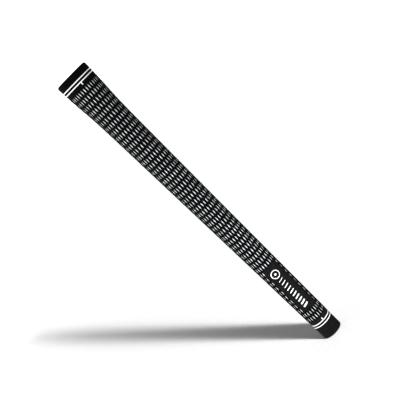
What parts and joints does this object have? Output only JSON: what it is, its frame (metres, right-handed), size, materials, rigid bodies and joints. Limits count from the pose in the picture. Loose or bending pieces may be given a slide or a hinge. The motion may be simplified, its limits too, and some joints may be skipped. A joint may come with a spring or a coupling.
{
  "type": "golf grip",
  "caption": "Tapered corded rubber golf-club grip with a flared vented butt cap, smooth label panel, painted end rings and a round core for the shaft.",
  "frame": {"origin": "centre of the mouth face, on the axis of the core", "axes": "+Z along the core from the mouth towards the butt cap; -Y is the front, with the label and the two alignment ticks; +X is to the right seen from the front with the butt cap up"},
  "size_m": [0.0264, 0.0264, 0.267],
  "materials": {
    "rubber_base": "matt",
    "rubber_corded": "matt, fine grain",
    "rubber_smooth": "matt smooth",
    "rubber_panel": "matt smooth",
    "paint_white": "paint fill",
    "cord_white": "cotton cord ground flush"
  },
  "bodies": {
    "root": {"inner_sleeve": "rubber_base", "skin_front": "rubber_corded", "skin_back": "rubber_corded", "label_panel": "rubber_panel", "mouth_collar": "rubber_smooth", "butt_cap": "rubber_smooth", "butt_ring_outer": "paint_white", "butt_ring_inner": "paint_white", "butt_tick": "paint_white", "mouth_ring_outer": "paint_white", "mouth_ring_inner": "paint_white", "mouth_tick": "paint_white", "label_emblem": "paint_white", "label_bars": "paint_white", "cord_butt": "cord_white", "cord_upper": "cord_white", "cord_middle": "cord_white", "cord_label": "cord_white", "cord_mouth": "cord_white"}
  },
  "joints": []
}
